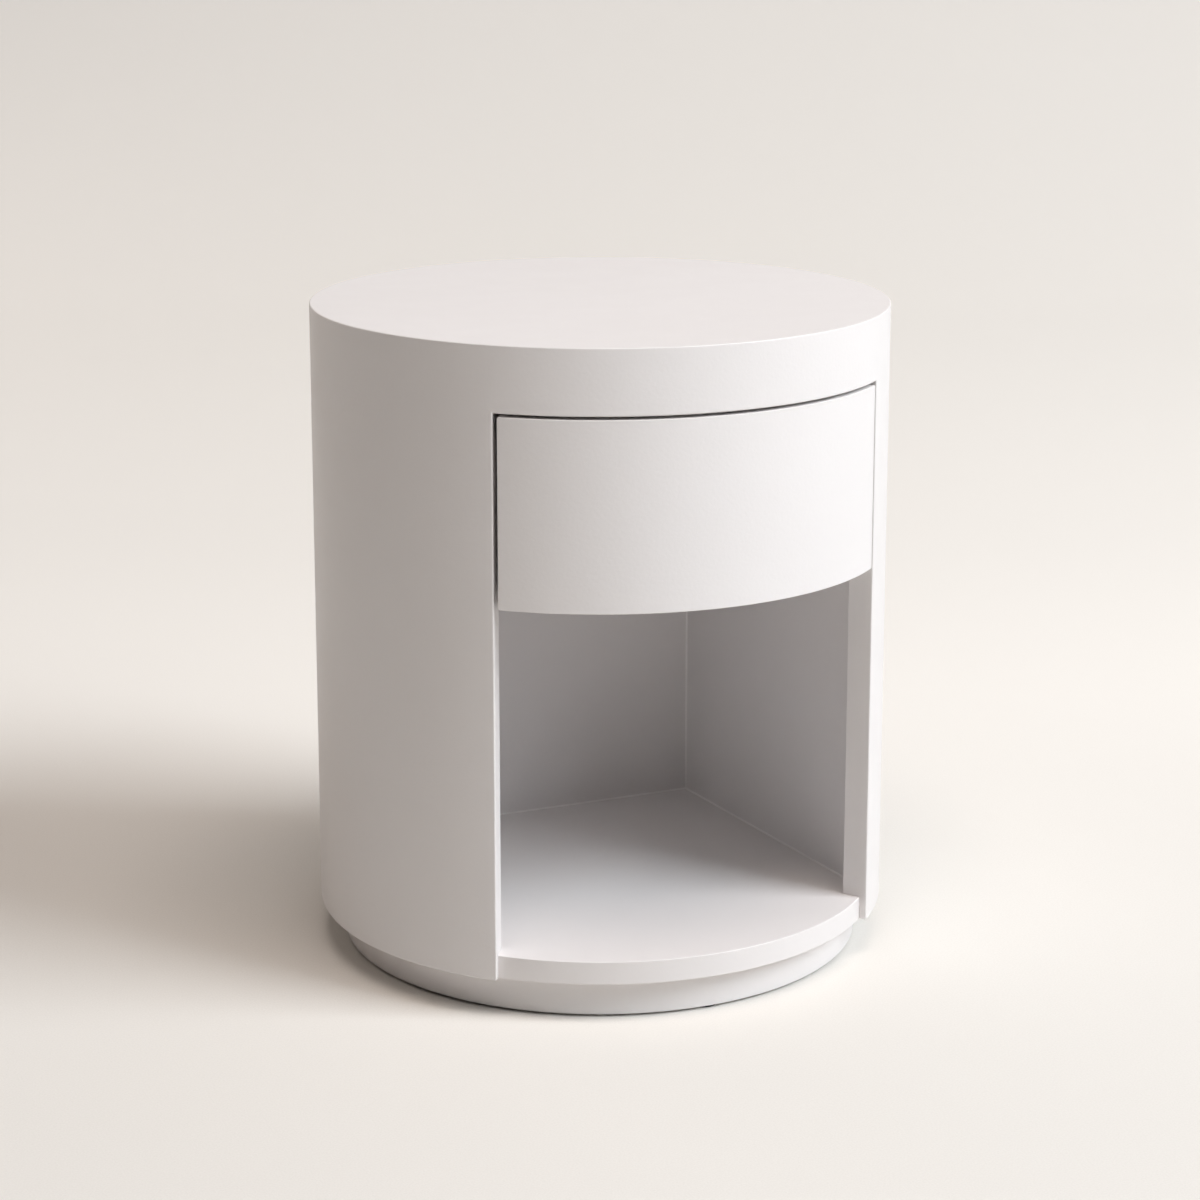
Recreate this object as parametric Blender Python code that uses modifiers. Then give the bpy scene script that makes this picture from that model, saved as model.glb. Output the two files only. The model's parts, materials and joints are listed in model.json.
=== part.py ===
"""Round nightstand with one sliding drawer above an open niche.

Metres, +Z up. The origin is on the floor, under the centre of the drum. The front faces -Y.
"""

import math

import bmesh
import bpy
from mathutils import Matrix, Vector

MM = 0.001

# Overall form
TOTAL_HEIGHT = 510 * MM
OUTER_RADIUS = 225 * MM
WALL_THICKNESS = 21 * MM
TOP_THICKNESS = 22 * MM
TOP_EDGE_RADIUS = 3 * MM
FLOOR_THICKNESS = 18 * MM
LIP_SETBACK = 6 * MM
PLINTH_RECESS = 20 * MM
PLINTH_HEIGHT = 29 * MM

# Opening in the wall
APRON_HEIGHT = 49.5 * MM
OPENING_HALF_ANGLE = math.radians(43.8)
END_FACE_SPLAY = math.radians(32)

# Niche
NICHE_CORNER_MARGIN = 2.5 * MM
NICHE_CORNER_ANGLE = math.radians(45.7)
SIDE_PANEL_SPLAY = math.radians(4.2)
PANEL_THICKNESS = 12 * MM
CEILING_THICKNESS = 12 * MM
FINGER_LIP = 9 * MM

# Drawer
FRONT_HEIGHT = 142.5 * MM
FRONT_GAP = 2 * MM
BUMPER_SPACE = 3 * MM
PASSAGE_CLEARANCE = 5 * MM
BOX_BOARD = 12 * MM
BOX_LIFT = 6 * MM
BOX_TOP_CLEARANCE = 18 * MM
BOTTOM_THICKNESS = 5 * MM
BOTTOM_LIFT = 7 * MM
GROOVE_DEPTH = 5 * MM

# Drawer slides
SLIDE_HEIGHT = 35 * MM
SLIDE_WIDTH = 12.7 * MM
SLIDE_SHEET = 1.2 * MM
SLIDE_FLANGE = 10.2 * MM
SLIDE_RUNNING_GAP = 0.4 * MM
SLIDE_CENTRE_LIFT = 36 * MM
SLIDE_SETBACK = 4 * MM
SLIDE_BACK_CLEARANCE = 20 * MM
BATTEN_THICKNESS = 18 * MM
BATTEN_MARGIN = 8.5 * MM
BATTEN_SETBACK = 30 * MM

# Hardware
GLIDE_RADIUS = 10 * MM
GLIDE_THICKNESS = 2 * MM
GLIDE_INSET = 12 * MM
GLIDE_STEM_RADIUS = 2.5 * MM
GLIDE_STEM_LENGTH = 12 * MM
DOWEL_RADIUS = 3 * MM
DOWEL_LENGTH = 24 * MM
FLOOR_DOWEL_DEPTH = 12 * MM
CEILING_DOWEL_DEPTH = 8 * MM
FRONT_DOWEL_DEPTH = 10 * MM
SIDE_DOWEL_DEPTH = 7 * MM
PANEL_DOWEL_INSET = 70 * MM
BOX_DOWEL_INSET = 24 * MM
PLINTH_SCREW_CIRCLE_RADIUS = 120 * MM
PLINTH_SCREW_BITE = 12 * MM
PLINTH_SCREW_SINK = 1 * MM
PLINTH_SCREW_RADIUS = 2 * MM
PLINTH_SCREW_HEAD_RADIUS = 4 * MM
PLINTH_SCREW_HEAD_HEIGHT = 2.4 * MM
SLIDE_SCREW_RADIUS = 1.6 * MM
SLIDE_SCREW_HEAD_RADIUS = 3.2 * MM
SLIDE_SCREW_HEAD_HEIGHT = 1.4 * MM
SLIDE_SCREW_BITE = 8 * MM
SLIDE_SCREW_INSET = 45 * MM
BUMPER_RADIUS = 4 * MM
BUMPER_ANGLE = math.radians(28)

# Fits
SEAT = 0.3 * MM
HOLE_CLEARANCE = 0.3 * MM
CUT_MARGIN = 20 * MM
WELD = 0.01 * MM

ROUND_SEGMENTS = 96
FRONT_SEGMENTS = 24
SMALL_SEGMENTS = 16
EDGE_SEGMENTS = 4
SHARP_ANGLE = math.radians(30)
SIDES = (("left", -1), ("right", 1))

# Heights worked out from the sizes above
PLINTH_BOTTOM = GLIDE_THICKNESS
WALL_BOTTOM = PLINTH_BOTTOM + PLINTH_HEIGHT
FLOOR_TOP = WALL_BOTTOM + FLOOR_THICKNESS
WALL_TOP = TOTAL_HEIGHT - TOP_THICKNESS
OPENING_TOP = TOTAL_HEIGHT - APRON_HEIGHT
FRONT_TOP = OPENING_TOP - FRONT_GAP
FRONT_BOTTOM = FRONT_TOP - FRONT_HEIGHT
CEILING_BOTTOM = FRONT_BOTTOM + FINGER_LIP
CEILING_TOP = CEILING_BOTTOM + CEILING_THICKNESS
BOX_BOTTOM = CEILING_TOP + BOX_LIFT
BOX_TOP = OPENING_TOP - BOX_TOP_CLEARANCE
BOTTOM_UNDERSIDE = BOX_BOTTOM + BOTTOM_LIFT
BOTTOM_TOP = BOTTOM_UNDERSIDE + BOTTOM_THICKNESS
SLIDE_CENTRE = CEILING_TOP + SLIDE_CENTRE_LIFT
BATTEN_TOP = SLIDE_CENTRE + SLIDE_HEIGHT / 2 + BATTEN_MARGIN

# Radii worked out from the sizes above
WALL_INNER_RADIUS = OUTER_RADIUS - WALL_THICKNESS
FIT_RADIUS = WALL_INNER_RADIUS - SEAT
LIP_RADIUS = OUTER_RADIUS - LIP_SETBACK
PLINTH_RADIUS = OUTER_RADIUS - PLINTH_RECESS
FRONT_INNER_RADIUS = WALL_INNER_RADIUS + BUMPER_SPACE
GLIDE_CIRCLE_RADIUS = PLINTH_RADIUS - GLIDE_INSET
NICHE_CORNER_RADIUS = FIT_RADIUS - NICHE_CORNER_MARGIN
NICHE_BACK_Y = NICHE_CORNER_RADIUS * math.cos(NICHE_CORNER_ANGLE)
NICHE_BACK_HALF_WIDTH = NICHE_CORNER_RADIUS * math.sin(NICHE_CORNER_ANGLE)


def on_circle(radius, turn, height=0.0):
    """A point at an angle from the front, positive to +X."""
    return Vector((radius * math.sin(turn), -radius * math.cos(turn), height))


def end_face_angle(radius, gap):
    """Angle from the front at which the opening's right end face, moved in by a gap, meets a radius."""
    inward = Vector((-math.sin(END_FACE_SPLAY), math.cos(END_FACE_SPLAY)))
    sideways = Vector((-math.cos(END_FACE_SPLAY), -math.sin(END_FACE_SPLAY)))
    start = on_circle(OUTER_RADIUS, OPENING_HALF_ANGLE).to_2d() + sideways * gap
    along = start.dot(inward)
    reach = -along - math.sqrt(along**2 - start.length_squared + radius**2)
    point = start + inward * reach
    return math.atan2(point.x, -point.y)


# The drawer box and its slides pass between the inner corners of the opening
PASSAGE_CORNER = on_circle(WALL_INNER_RADIUS, end_face_angle(WALL_INNER_RADIUS, 0))
BATTEN_FACE_X = PASSAGE_CORNER.x - PASSAGE_CLEARANCE
BATTEN_OUTER_X = BATTEN_FACE_X + BATTEN_THICKNESS
BOX_HALF_WIDTH = BATTEN_FACE_X - SLIDE_WIDTH
BOX_INNER_HALF_WIDTH = BOX_HALF_WIDTH - BOX_BOARD
SLIDE_FRONT_Y = PASSAGE_CORNER.y + SLIDE_SETBACK
SLIDE_BACK_Y = math.sqrt(FIT_RADIUS**2 - BATTEN_OUTER_X**2) - SLIDE_BACK_CLEARANCE
SLIDE_LENGTH = SLIDE_BACK_Y - SLIDE_FRONT_Y
BOX_BACK_Y = SLIDE_BACK_Y

WHITE_LACQUER = ((0.80, 0.785, 0.77), 0.45, 0.0)
INNER_BOARD = ((0.72, 0.69, 0.65), 0.6, 0.0)
ZINC_STEEL = ((0.62, 0.63, 0.65), 0.35, 1.0)
BEECH = ((0.62, 0.44, 0.27), 0.65, 0.0)
BLACK_PLASTIC = ((0.03, 0.03, 0.03), 0.6, 0.0)
CLEAR_RUBBER = ((0.75, 0.75, 0.73), 0.4, 0.0)


def clear_scene():
    for item in list(bpy.data.objects):
        bpy.data.objects.remove(item, do_unlink=True)


def new_collection(name):
    made = bpy.data.collections.new(name)
    bpy.context.scene.collection.children.link(made)
    return made


clear_scene()
PARTS = new_collection("nightstand")
CUTTERS = new_collection("nightstand_cutters")


def handle(name, location, parent=None):
    """An empty that carries pieces which move together, on the axis of their joint."""
    made = bpy.data.objects.new(name, None)
    made.location = location
    made.parent = parent
    PARTS.objects.link(made)
    return made


CABINET = handle("cabinet", (0, 0, 0))
DRAWER = handle("drawer", (0, 0, SLIDE_CENTRE), CABINET)
MIDDLE = {
    side: handle(f"slide_travel_{side}", (sign * BATTEN_FACE_X, 0, SLIDE_CENTRE), CABINET)
    for side, sign in SIDES
}


def finish_of(name, finish):
    colour, roughness, metallic = finish
    material = bpy.data.materials.new(name)
    material.use_nodes = True
    shader = material.node_tree.nodes["Principled BSDF"]
    shader.inputs["Base Color"].default_value = (*colour, 1)
    shader.inputs["Roughness"].default_value = roughness
    shader.inputs["Metallic"].default_value = metallic
    return material


def as_part(item, finish, parent=CABINET):
    """Makes an object a visible piece, kept where it is in the world under its parent."""
    item.data.materials.append(finish_of(item.name, finish))
    bpy.context.view_layer.update()
    place = item.matrix_world.copy()
    item.parent = parent
    item.matrix_parent_inverse = parent.matrix_world.inverted()
    item.matrix_world = place
    return item


def as_cutter(item):
    PARTS.objects.unlink(item)
    CUTTERS.objects.link(item)
    item.hide_render = True
    item.display_type = "WIRE"
    return item


def cut(item, cutter, operation="DIFFERENCE"):
    boolean = item.modifiers.new(f"{operation.title()} {cutter.name}", "BOOLEAN")
    boolean.operation = operation
    boolean.object = cutter
    boolean.solver = "EXACT"


def mesh_object(name, shape):
    """A new object from a bmesh, with smooth round faces and sharp corners."""
    bmesh.ops.recalc_face_normals(shape, faces=shape.faces)
    data = bpy.data.meshes.new(name)
    shape.to_mesh(data)
    shape.free()
    data.shade_smooth()
    data.set_sharp_from_angle(angle=SHARP_ANGLE)
    made = bpy.data.objects.new(name, data)
    PARTS.objects.link(made)
    return made


def box(name, corner, opposite):
    """A box between two opposite corners, given in any order."""
    corner, opposite = Vector(corner), Vector(opposite)
    size = [abs(side) for side in opposite - corner]
    place = Matrix.Translation((corner + opposite) / 2) @ Matrix.Diagonal((*size, 1))
    shape = bmesh.new()
    bmesh.ops.create_cube(shape, size=1, matrix=place)
    return mesh_object(name, shape)


def cylinder(name, radius, low, high, segments=ROUND_SEGMENTS):
    shape = bmesh.new()
    bmesh.ops.create_cone(
        shape,
        cap_ends=True,
        segments=segments,
        radius1=radius,
        radius2=radius,
        depth=high - low,
        matrix=Matrix.Translation((0, 0, (low + high) / 2)),
    )
    return mesh_object(name, shape)


def turned(name, profile, segments=SMALL_SEGMENTS):
    """A profile of (radius, height) points that runs down its outer side, turned about Z."""
    data = bpy.data.meshes.new(name)
    points = [(radius, 0, height) for radius, height in profile]
    data.from_pydata(points, [(i, i + 1) for i in range(len(points) - 1)], [])
    made = bpy.data.objects.new(name, data)
    PARTS.objects.link(made)
    screw = made.modifiers.new("Screw", "SCREW")
    screw.steps = segments
    screw.render_steps = segments
    screw.use_merge_vertices = True
    screw.merge_threshold = WELD
    screw.use_smooth_shade = False
    return made


def plate(name, outline, low, high):
    """A flat outline of (x, y) points, extruded from one height to another, as a mesh."""
    curve = bpy.data.curves.new(name, "CURVE")
    curve.dimensions = "2D"
    curve.fill_mode = "BOTH"
    curve.extrude = (high - low) / 2
    spline = curve.splines.new("POLY")
    spline.points.add(len(outline) - 1)
    for point, (x, y) in zip(spline.points, outline):
        point.co = (x, y, 0, 1)
    spline.use_cyclic_u = True
    drawn = bpy.data.objects.new(name, curve)
    drawn.location = (0, 0, (low + high) / 2)
    PARTS.objects.link(drawn)
    bpy.context.view_layer.update()
    graph = bpy.context.evaluated_depsgraph_get()
    data = bpy.data.meshes.new_from_object(drawn.evaluated_get(graph))
    shape = bmesh.new()
    shape.from_mesh(data)
    bmesh.ops.remove_doubles(shape, verts=shape.verts, dist=WELD)
    shape.transform(drawn.matrix_world)
    bpy.data.objects.remove(drawn, do_unlink=True)
    bpy.data.meshes.remove(data)
    return mesh_object(name, shape)


def point_along(item, direction, place):
    """Turns an object from Z to a direction and moves it to a place."""
    item.rotation_mode = "QUATERNION"
    item.rotation_quaternion = Vector((0, 0, 1)).rotation_difference(Vector(direction))
    item.location = place


def arc(radius, start, end, steps=FRONT_SEGMENTS):
    angles = [start + (end - start) * i / steps for i in range(steps + 1)]
    return [on_circle(radius, angle).to_2d() for angle in angles]


def front_sector(outer, inner, gap):
    """Outline of a curved board that fills the opening between two radii, with a gap at its ends."""
    outer_end = end_face_angle(outer, gap)
    inner_end = end_face_angle(inner, gap)
    return arc(outer, -outer_end, outer_end) + arc(inner, inner_end, -inner_end)


def make_top():
    turns = [math.pi / 2 * i / EDGE_SEGMENTS for i in range(EDGE_SEGMENTS + 1)]
    edge = [
        (
            OUTER_RADIUS - TOP_EDGE_RADIUS * (1 - math.sin(turn)),
            TOTAL_HEIGHT - TOP_EDGE_RADIUS * (1 - math.cos(turn)),
        )
        for turn in turns
    ]
    underside = WALL_TOP + SEAT
    profile = [(0, TOTAL_HEIGHT), *edge, (OUTER_RADIUS, underside), (0, underside)]
    as_part(turned("top_panel", profile, ROUND_SEGMENTS), WHITE_LACQUER)


def make_wall():
    below, above = WALL_BOTTOM - CUT_MARGIN, WALL_TOP + CUT_MARGIN
    wall = cylinder("curved_wall", OUTER_RADIUS, WALL_BOTTOM, WALL_TOP)
    cut(wall, as_cutter(cylinder("wall_bore", WALL_INNER_RADIUS, below, above)))
    outline = front_sector(OUTER_RADIUS + CUT_MARGIN, WALL_INNER_RADIUS - CUT_MARGIN, 0)
    cut(wall, as_cutter(plate("wall_opening", outline, below, OPENING_TOP)))
    as_part(wall, WHITE_LACQUER)


def make_floor():
    """A disc inside the wall, with a tongue that fills the opening up to the lip."""
    lip_end = end_face_angle(LIP_RADIUS, SEAT)
    tongue_root = end_face_angle(FIT_RADIUS, SEAT)
    lip = arc(LIP_RADIUS, -lip_end, lip_end)
    disc_steps = ROUND_SEGMENTS - FRONT_SEGMENTS
    disc = arc(FIT_RADIUS, tongue_root, 2 * math.pi - tongue_root, disc_steps)
    return plate("floor_panel", lip + disc, WALL_BOTTOM, FLOOR_TOP)


def make_plinth(floor):
    plinth = cylinder("plinth", PLINTH_RADIUS, PLINTH_BOTTOM, WALL_BOTTOM - SEAT)
    for quarter, place in enumerate(("front", "right", "back", "left")):
        make_glide(place, quarter * math.pi / 2, plinth)
    for quarter, place in enumerate(("front_right", "back_right", "back_left", "front_left")):
        make_plinth_screw(place, (quarter + 0.5) * math.pi / 2, plinth, floor)
    as_part(plinth, WHITE_LACQUER)


def make_glide(place, turn, plinth):
    """A round pad with a stem pressed into a hole in the plinth's underside."""
    pad_top = GLIDE_THICKNESS - SEAT
    stem_top = PLINTH_BOTTOM + GLIDE_STEM_LENGTH
    profile = [
        (0, stem_top),
        (GLIDE_STEM_RADIUS, stem_top),
        (GLIDE_STEM_RADIUS, pad_top),
        (GLIDE_RADIUS, pad_top),
        (GLIDE_RADIUS, 0),
        (0, 0),
    ]
    glide = turned(f"glide_{place}", profile)
    hole = cylinder(
        f"glide_hole_{place}",
        GLIDE_STEM_RADIUS + HOLE_CLEARANCE,
        PLINTH_BOTTOM - CUT_MARGIN,
        stem_top + HOLE_CLEARANCE,
        SMALL_SEGMENTS,
    )
    glide.location = on_circle(GLIDE_CIRCLE_RADIUS, turn)
    hole.location = glide.location
    as_part(glide, BLACK_PLASTIC)
    cut(plinth, as_cutter(hole))


def make_plinth_screw(place, turn, plinth, floor):
    """A countersunk screw up through the plinth into the floor panel."""
    length = PLINTH_HEIGHT - PLINTH_SCREW_SINK + PLINTH_SCREW_BITE
    shank = PLINTH_SCREW_RADIUS
    head, head_height = PLINTH_SCREW_HEAD_RADIUS, PLINTH_SCREW_HEAD_HEIGHT
    profile = [(0, length), (shank, length), (shank, head_height), (head, 0), (0, 0)]
    free = HOLE_CLEARANCE
    hole_profile = [
        (0, length + free),
        (shank + free, length + free),
        (shank + free, head_height + free),
        (head + free, free),
        (head + free, -CUT_MARGIN),
        (0, -CUT_MARGIN),
    ]
    screw = turned(f"plinth_screw_{place}", profile)
    hole = turned(f"plinth_screw_hole_{place}", hole_profile)
    height = PLINTH_BOTTOM + PLINTH_SCREW_SINK
    screw.location = on_circle(PLINTH_SCREW_CIRCLE_RADIUS, turn, height)
    hole.location = screw.location
    as_part(screw, ZINC_STEEL)
    as_cutter(hole)
    cut(plinth, hole)
    cut(floor, hole)


def make_dowel(name, start, direction, pieces, parent=CABINET):
    """A dowel from a point along an axis, with its hole in each piece that it joins."""
    dowel = cylinder(name, DOWEL_RADIUS, 0, DOWEL_LENGTH, SMALL_SEGMENTS)
    hole = cylinder(
        f"{name}_hole",
        DOWEL_RADIUS + HOLE_CLEARANCE,
        -HOLE_CLEARANCE,
        DOWEL_LENGTH + HOLE_CLEARANCE,
        SMALL_SEGMENTS,
    )
    point_along(dowel, direction, start)
    point_along(hole, direction, start)
    as_part(dowel, BEECH, parent)
    as_cutter(hole)
    for piece in pieces:
        cut(piece, hole)


def side_panel_x(y, depth):
    """Half width of the niche at y, plus a depth into the right side panel."""
    return NICHE_BACK_HALF_WIDTH + (NICHE_BACK_Y - y) * math.tan(SIDE_PANEL_SPLAY) + depth


def make_niche(floor):
    low, high = FLOOR_TOP + SEAT, CEILING_BOTTOM - SEAT
    inside = cylinder("inside_of_wall", FIT_RADIUS, low - CUT_MARGIN, high + CUT_MARGIN)
    as_cutter(inside)
    ceiling = cylinder("niche_ceiling", FIT_RADIUS, CEILING_BOTTOM, CEILING_TOP)
    back = box(
        "niche_back_panel",
        (-OUTER_RADIUS, NICHE_BACK_Y, low),
        (OUTER_RADIUS, NICHE_BACK_Y + PANEL_THICKNESS, high),
    )
    cut(back, inside, "INTERSECT")
    for side, sign in SIDES:
        make_side_panel(side, sign, (low, high), inside, floor, ceiling)
        make_bumper(side, sign)
    as_part(back, WHITE_LACQUER)
    as_part(ceiling, WHITE_LACQUER)


def make_side_panel(side, sign, heights, inside, floor, ceiling):
    """A flat side of the niche that leans outwards to the front and ends at the wall."""
    ends = (-OUTER_RADIUS, NICHE_BACK_Y - SEAT)
    outline = [(sign * side_panel_x(y, 0), y) for y in ends]
    outline += [(sign * side_panel_x(y, PANEL_THICKNESS), y) for y in reversed(ends)]
    panel = plate(f"niche_side_panel_{side}", outline, *heights)
    cut(panel, inside, "INTERSECT")
    places = (
        ("front", PASSAGE_CORNER.y + PANEL_DOWEL_INSET),
        ("back", NICHE_BACK_Y - PANEL_DOWEL_INSET),
    )
    for place, y in places:
        x = sign * side_panel_x(y, PANEL_THICKNESS / 2)
        foot = (x, y, FLOOR_TOP - FLOOR_DOWEL_DEPTH)
        head = (x, y, CEILING_BOTTOM + CEILING_DOWEL_DEPTH - DOWEL_LENGTH)
        make_dowel(f"floor_dowel_{side}_{place}", foot, (0, 0, 1), (floor, panel))
        make_dowel(f"ceiling_dowel_{side}_{place}", head, (0, 0, 1), (ceiling, panel))
    as_part(panel, WHITE_LACQUER)


def make_bumper(side, sign):
    """A soft round pad on the ceiling's front edge, which the closed drawer front rests against."""
    turn = sign * BUMPER_ANGLE
    bumper = cylinder(
        f"drawer_bumper_{side}", BUMPER_RADIUS, 0, BUMPER_SPACE - SEAT, SMALL_SEGMENTS
    )
    place = on_circle(WALL_INNER_RADIUS, turn, (CEILING_BOTTOM + CEILING_TOP) / 2)
    point_along(bumper, on_circle(1, turn), place)
    as_part(bumper, CLEAR_RUBBER)


def make_drawer_front():
    outline = front_sector(OUTER_RADIUS, FRONT_INNER_RADIUS, FRONT_GAP)
    front = plate("drawer_front", outline, FRONT_BOTTOM, FRONT_TOP)
    groove_end = math.asin((BOX_INNER_HALF_WIDTH + GROOVE_DEPTH) / FRONT_INNER_RADIUS)
    groove = plate(
        "front_groove",
        arc(FRONT_INNER_RADIUS + GROOVE_DEPTH, -groove_end, groove_end)
        + arc(FRONT_INNER_RADIUS - CUT_MARGIN, groove_end, -groove_end),
        BOTTOM_UNDERSIDE - SEAT,
        BOTTOM_TOP + SEAT,
    )
    cut(front, as_cutter(groove))
    return front


def make_drawer_bottom():
    """A thin board in grooves of the sides and the curved front. The back stands on it."""
    half = BOX_INNER_HALF_WIDTH + GROOVE_DEPTH - SEAT
    radius = FRONT_INNER_RADIUS + GROOVE_DEPTH - SEAT
    turn = math.asin((half - SEAT) / radius)
    outline = arc(radius, -turn, turn) + [(half, BOX_BACK_Y), (-half, BOX_BACK_Y)]
    as_part(plate("drawer_bottom", outline, BOTTOM_UNDERSIDE, BOTTOM_TOP), INNER_BOARD, DRAWER)


def make_drawer_box(front):
    seat_radius = FRONT_INNER_RADIUS - SEAT
    low, high = BOX_BOTTOM - CUT_MARGIN, BOX_TOP + CUT_MARGIN
    inside = as_cutter(cylinder("inside_of_front", seat_radius, low, high))
    back_half = BOX_INNER_HALF_WIDTH - SEAT
    back = box(
        "drawer_back",
        (-back_half, BOX_BACK_Y - BOX_BOARD, BOTTOM_TOP + SEAT),
        (back_half, BOX_BACK_Y, BOX_TOP),
    )
    for side, sign in SIDES:
        board = box(
            f"drawer_side_{side}",
            (sign * BOX_INNER_HALF_WIDTH, -OUTER_RADIUS, BOX_BOTTOM),
            (sign * BOX_HALF_WIDTH, BOX_BACK_Y, BOX_TOP),
        )
        cut(board, inside, "INTERSECT")
        groove = box(
            f"side_groove_{side}",
            (
                sign * (BOX_INNER_HALF_WIDTH - CUT_MARGIN),
                -OUTER_RADIUS - CUT_MARGIN,
                BOTTOM_UNDERSIDE - SEAT,
            ),
            (
                sign * (BOX_INNER_HALF_WIDTH + GROOVE_DEPTH),
                BOX_BACK_Y + CUT_MARGIN,
                BOTTOM_TOP + SEAT,
            ),
        )
        cut(board, as_cutter(groove))
        make_box_dowels(side, sign, board, front, back)
        as_part(board, INNER_BOARD, DRAWER)
    as_part(back, INNER_BOARD, DRAWER)
    as_part(front, WHITE_LACQUER, DRAWER)


def make_box_dowels(side, sign, board, front, back):
    """Dowels that join one side of the drawer box to the front and to the back."""
    board_x = BOX_HALF_WIDTH - BOX_BOARD / 2
    front_y = -math.sqrt(FRONT_INNER_RADIUS**2 - board_x**2) - FRONT_DOWEL_DEPTH
    back_x = BOX_INNER_HALF_WIDTH + SIDE_DOWEL_DEPTH
    back_y = BOX_BACK_Y - BOX_BOARD / 2
    heights = (("lower", BOTTOM_TOP + BOX_DOWEL_INSET), ("upper", BOX_TOP - BOX_DOWEL_INSET))
    for place, z in heights:
        to_front = (sign * board_x, front_y, z)
        to_back = (sign * back_x, back_y, z)
        make_dowel(f"front_dowel_{side}_{place}", to_front, (0, 1, 0), (front, board), DRAWER)
        make_dowel(f"back_dowel_{side}_{place}", to_back, (-sign, 0, 0), (board, back), DRAWER)


def channel(name, sign, web, flange_end, half_height, parent):
    """A folded steel channel along Y. Web and flange are measured from the batten to the drawer."""
    web_inner = web + math.copysign(SLIDE_SHEET, flange_end - web)
    inside = half_height - SLIDE_SHEET
    section = [
        (web, -half_height),
        (flange_end, -half_height),
        (flange_end, -inside),
        (web_inner, -inside),
        (web_inner, inside),
        (flange_end, inside),
        (flange_end, half_height),
        (web, half_height),
    ]
    made = plate(name, [(-sign * depth, height) for depth, height in section], 0, SLIDE_LENGTH)
    made.rotation_euler = (math.pi / 2, 0, 0)
    made.location = (sign * BATTEN_FACE_X, SLIDE_BACK_Y, SLIDE_CENTRE)
    return as_part(made, ZINC_STEEL, parent)


def make_slide_screw(name, start, direction, pieces, parent):
    """A pan-head screw through a channel's web, with its hole in the channel and the board behind."""
    length = SLIDE_SHEET + 2 * SEAT + SLIDE_SCREW_BITE
    shank, head, head_height = (
        SLIDE_SCREW_RADIUS,
        SLIDE_SCREW_HEAD_RADIUS,
        SLIDE_SCREW_HEAD_HEIGHT,
    )
    profile = [
        (0, length),
        (shank, length),
        (shank, 0),
        (head, 0),
        (head, -head_height),
        (0, -head_height),
    ]
    screw = turned(name, profile)
    hole = cylinder(
        f"{name}_hole",
        shank + HOLE_CLEARANCE,
        -head_height,
        length + HOLE_CLEARANCE,
        SMALL_SEGMENTS,
    )
    point_along(screw, direction, start)
    point_along(hole, direction, start)
    as_part(screw, ZINC_STEEL, parent)
    as_cutter(hole)
    for piece in pieces:
        cut(piece, hole)


def make_slide(side, sign):
    """Three nested channels: one on the batten, one between, one on the drawer's side."""
    batten = box(
        f"runner_batten_{side}",
        (sign * BATTEN_FACE_X, SLIDE_FRONT_Y + BATTEN_SETBACK, CEILING_TOP + SEAT),
        (sign * BATTEN_OUTER_X, SLIDE_BACK_Y, BATTEN_TOP),
    )
    as_part(batten, INNER_BOARD)
    board = bpy.data.objects[f"drawer_side_{side}"]
    cabinet_head = SEAT + SLIDE_SHEET + SEAT
    middle_web = cabinet_head + SLIDE_SCREW_HEAD_HEIGHT + SEAT
    drawer_web = SLIDE_WIDTH - SEAT
    drawer_head = drawer_web - SLIDE_SHEET - SEAT
    drawer_flange = middle_web + SLIDE_SHEET + SLIDE_RUNNING_GAP
    nesting = SLIDE_SHEET + SLIDE_RUNNING_GAP
    half = SLIDE_HEIGHT / 2
    cabinet = channel(
        f"slide_cabinet_member_{side}", sign, SEAT, SLIDE_FLANGE, half, CABINET
    )
    channel(
        f"slide_middle_member_{side}",
        sign,
        middle_web,
        SLIDE_FLANGE,
        half - nesting,
        MIDDLE[side],
    )
    drawer = channel(
        f"slide_drawer_member_{side}",
        sign,
        drawer_web,
        drawer_flange,
        half - 2 * nesting,
        DRAWER,
    )
    places = (
        ("front", SLIDE_FRONT_Y + SLIDE_SCREW_INSET),
        ("back", SLIDE_BACK_Y - SLIDE_SCREW_INSET),
    )
    for place, y in places:
        on_cabinet = (sign * (BATTEN_FACE_X - cabinet_head), y, SLIDE_CENTRE)
        on_drawer = (sign * (BATTEN_FACE_X - drawer_head), y, SLIDE_CENTRE)
        make_slide_screw(
            f"cabinet_slide_screw_{side}_{place}",
            on_cabinet,
            (sign, 0, 0),
            (cabinet, batten),
            CABINET,
        )
        make_slide_screw(
            f"drawer_slide_screw_{side}_{place}",
            on_drawer,
            (-sign, 0, 0),
            (drawer, board),
            DRAWER,
        )


make_top()
make_wall()
floor_panel = make_floor()
make_plinth(floor_panel)
make_niche(floor_panel)
as_part(floor_panel, WHITE_LACQUER)
drawer_front = make_drawer_front()
make_drawer_bottom()
make_drawer_box(drawer_front)
for slide_side, slide_sign in SIDES:
    make_slide(slide_side, slide_sign)
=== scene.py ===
"""Looks of a round lacquered nightstand: drum, curved drawer front, niche, plinth and hardware.

Metres, +Z up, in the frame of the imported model. The front faces -Y.
"""

import json
import math

import bmesh
import bpy
from mathutils import Matrix, Vector


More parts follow.
